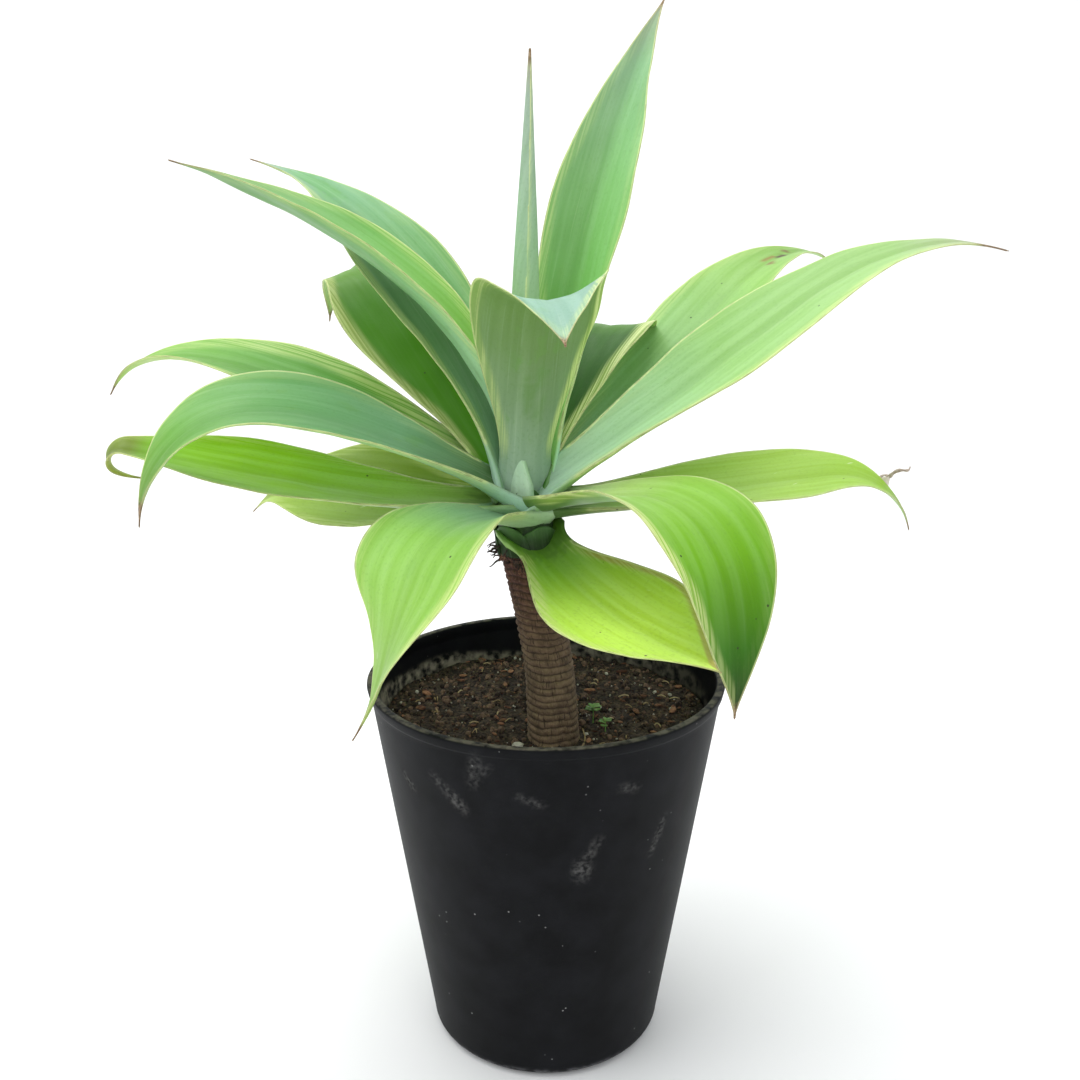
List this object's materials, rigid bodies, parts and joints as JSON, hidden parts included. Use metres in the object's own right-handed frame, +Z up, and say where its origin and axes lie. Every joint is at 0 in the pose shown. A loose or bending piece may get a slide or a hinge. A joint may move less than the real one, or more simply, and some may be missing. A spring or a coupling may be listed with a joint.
{
  "type": "potted agave",
  "caption": "Potted foxtail agave: a bare ringed stem with a crown of broad arching leaves, standing in soil in a tapered black plastic nursery pot.",
  "frame": {"origin": "centre of the pot's flat underside, where it stands", "axes": "+Z up along the pot's axis, -Y towards the front, where the stem's foot stands, and +X to the right seen from the front"},
  "size_m": [0.6108, 0.4715, 0.7609],
  "materials": {
    "plastic": "satin",
    "soil": "matte",
    "bark": "matte",
    "young_leaf": "satin",
    "leaf": "satin",
    "weed": "matte"
  },
  "bodies": {
    "root": {"pot": "plastic", "soil": "soil", "stem": "bark", "spear": "young_leaf", "leaf_01": "leaf", "leaf_02": "leaf", "leaf_03": "leaf", "leaf_04": "leaf", "leaf_05": "leaf", "leaf_06": "leaf", "leaf_07": "leaf", "leaf_08": "leaf", "leaf_09": "leaf", "leaf_10": "leaf", "leaf_11": "leaf", "leaf_12": "leaf", "leaf_13": "leaf", "leaf_14": "leaf", "leaf_15": "leaf", "leaf_16": "leaf", "leaf_17": "leaf", "leaf_18": "leaf", "leaf_19": "leaf", "leaf_20": "leaf", "seedling_01": "weed", "seedling_02": "weed"}
  },
  "joints": []
}
